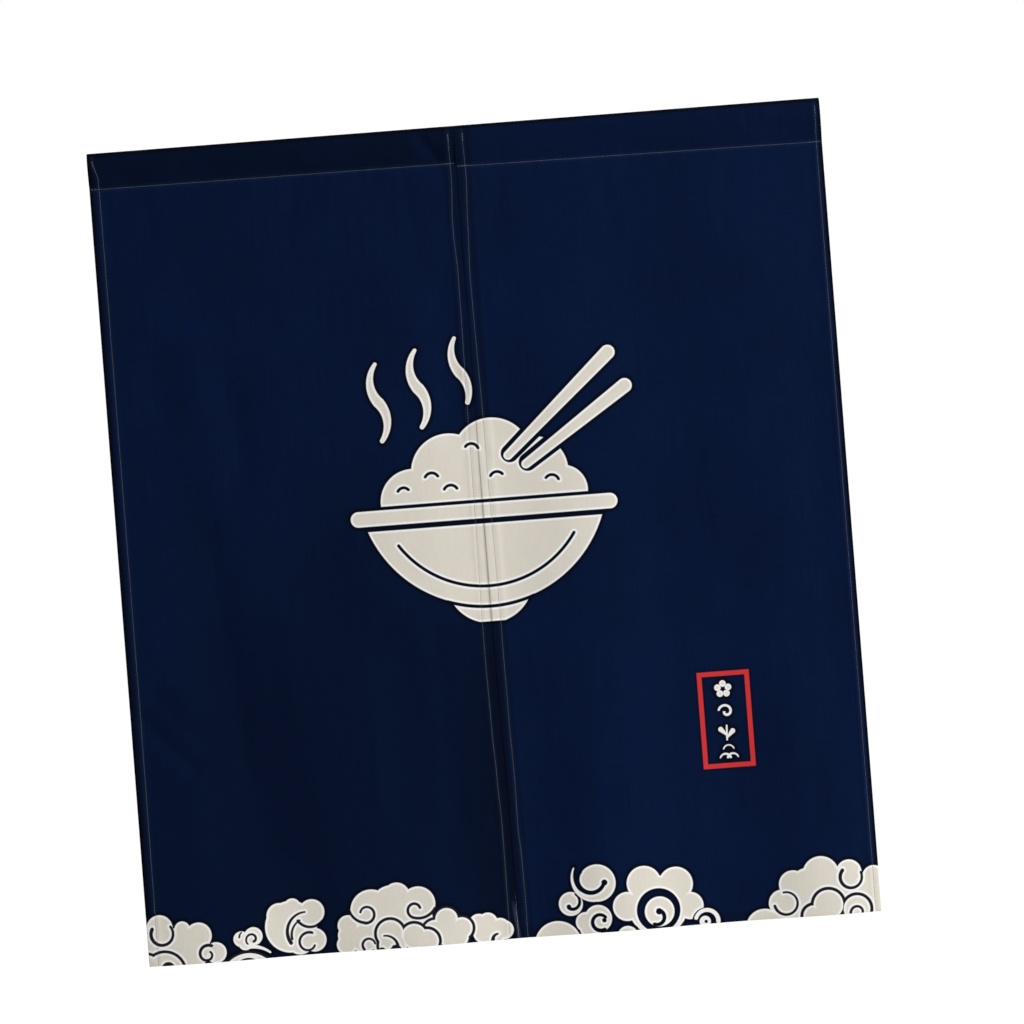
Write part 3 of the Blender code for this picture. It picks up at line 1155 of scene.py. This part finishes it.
def add_frame(place, color):
    """A red line round the small framed panel."""
    from_middle = place.vector("SUBTRACT", (FRAME_MIDDLE[0], FRAME_MIDDLE[1], 0.0))
    away = from_middle.vector("ABSOLUTE").vector("SUBTRACT", (FRAME_HALF[0], FRAME_HALF[1], 0.0))
    outside = away.part(0).most(away.part(1))
    line = abs(outside + FRAME_LINE / 2.0) - FRAME_LINE / 2.0
    color = color.scale(line.step(0.4, 3.6) * 0.5 + 0.5)
    return below(line, -SOFT, SOFT).mix(color, RED)


def reverse_cotton(name, layers):
    """The unprinted side: paler and duller, with a little of the print showing through."""
    material, wire, shader = new_material(name)
    place = cloth_place(wire)
    height, over = woven(place)
    ground = wire.vector_of(REVERSE).scale(streaked(place) * 0.4 + 0.8)
    through = None
    for layer in layers:
        if layer["paint"] in ("cream", "edged"):
            shape = union(place, layer)
            through = through.least(shape) if through else shape
    ground = below(through, -1.2, 1.2).mix(ground, REVERSE_CREAM)
    finish_cloth(shader, ground, height, over)
    return material


def sewing_thread(name, color):
    """Sewing thread, with painted shade in the slanting grooves between its twisted plies."""
    material, wire, shader = new_material(name)
    round_it = wire.node("ShaderNodeUVMap", {"uv_map": "UVMap"}, output="UV")
    # Painted shade in the grooves between the twisted plies
    plies = ((round_it.part(0) * 3.0 + round_it.part(1) * 5.0) * (2.0 * math.pi)).math("SINE")
    tone = wire.vector_of(color).scale(plies * 0.16 + 0.92)
    wire.tree.links.new(tone.socket, shader.inputs["Base Color"])
    shader.inputs["Roughness"].default_value = 0.6
    shader.inputs["Specular IOR Level"].default_value = 0.2
    return material


def plain_material(name, color):
    """A plain matt finish."""
    material, _, shader = new_material(name)
    shader.inputs["Base Color"].default_value = color
    shader.inputs["Roughness"].default_value = 0.9
    return material


def make_camera():
    """A camera that sees the curtain face on, turned and placed as in the photograph."""
    pixel = WIDTH / CURTAIN_PIXELS
    right = Vector((math.cos(TURN), 0.0, -math.sin(TURN)))
    up = Vector((math.sin(TURN), 0.0, math.cos(TURN)))
    data = bpy.data.cameras.new("camera")
    data.sensor_width = SENSOR
    data.lens = SENSOR * CAMERA_AWAY / (FRAME_PIXELS * pixel)
    camera = put_in_scene("camera", data)
    place = MIDDLE + FRONT * CAMERA_AWAY
    place -= (right * CENTRE_RIGHT + up * CENTRE_UP) * pixel
    camera.matrix_world = Matrix.Translation(place) @ Matrix((right, up, FRONT)).transposed().to_4x4()
    bpy.context.scene.camera = camera


def soft_light(name, place, size, power):
    """A square soft light that faces the middle of the curtain."""
    data = bpy.data.lights.new(name, "AREA")
    data.shape = "SQUARE"
    data.size = size
    data.energy = power
    lamp = put_in_scene(name, data)
    lamp.location = place
    lamp.rotation_mode = "QUATERNION"
    lamp.rotation_quaternion = (MIDDLE - lamp.location).to_track_quat("-Z", "Y")


def make_lights():
    """A large soft light high on the right, a weaker one behind, and pale light from all round."""
    soft_light("key", (5.4, -2.55, 2.8), 2.2, 540.0)
    soft_light("behind", (-3.0, 4.4, 2.2), 2.6, 330.0)

    world = bpy.data.worlds.new("studio")
    bpy.context.scene.world = world
    world.use_nodes = True
    tree = world.node_tree
    tree.nodes.clear()
    start = Wire(tree)
    seen = start.node("ShaderNodeLightPath", output="Is Camera Ray")
    white = (1.0, 1.0, 1.0, 1.0)
    lit = start.node("ShaderNodeBackground", None, {"Color": white, "Strength": ROOM_LIGHT})
    plain = start.node("ShaderNodeBackground", None, {"Color": white, "Strength": SEEN_WHITE})
    shown = start.node("ShaderNodeMixShader", None, {0: seen, 1: lit, 2: plain})
    out = tree.nodes.new("ShaderNodeOutputWorld")
    tree.links.new(shown.socket, out.inputs["Surface"])


def make_floor():
    """A plain pale floor, a doorway's height below the curtain's top edge."""
    bpy.ops.mesh.primitive_circle_add(
        vertices=96, radius=FLOOR_RADIUS, fill_type="NGON", location=(0.0, 0.0, -FLOOR_DROP)
    )
    floor = bpy.context.active_object
    floor.name = "floor"
    floor.data.materials.append(plain_material("pale_floor", (0.90, 0.90, 0.89, 1.0)))


def main():
    """Dresses the two panels and sets up the room."""
    bpy.context.scene.view_settings.view_transform = "Standard"
    make_camera()
    make_lights()
    make_floor()
    plain = printed_cotton("navy_cotton")
    bowl = printed_cotton("bowl_print", BOWL)
    framed = printed_cotton("framed_print", FRAME_MARKS, framed=True)
    thread = sewing_thread("grey_blue_thread", THREAD_COLOR)
    stitch = model_stitch()
    panels = [Panel("panel_left"), Panel("panel_right")]
    for panel, layers in zip(panels, (BORDER_LEFT, BORDER_RIGHT)):
        border = printed_cotton(panel.name + "_border", layers)
        reverse = reverse_cotton(panel.name + "_reverse", layers + BOWL)
        cloth, flat = make_cloth(panel, (plain, reverse, border, bowl, framed))
        stitching = sew_panel(panel, stitch.data, thread)
    join_panels(panels, stitch.data, thread)
    bpy.data.objects.remove(stitch, do_unlink=True)


main()
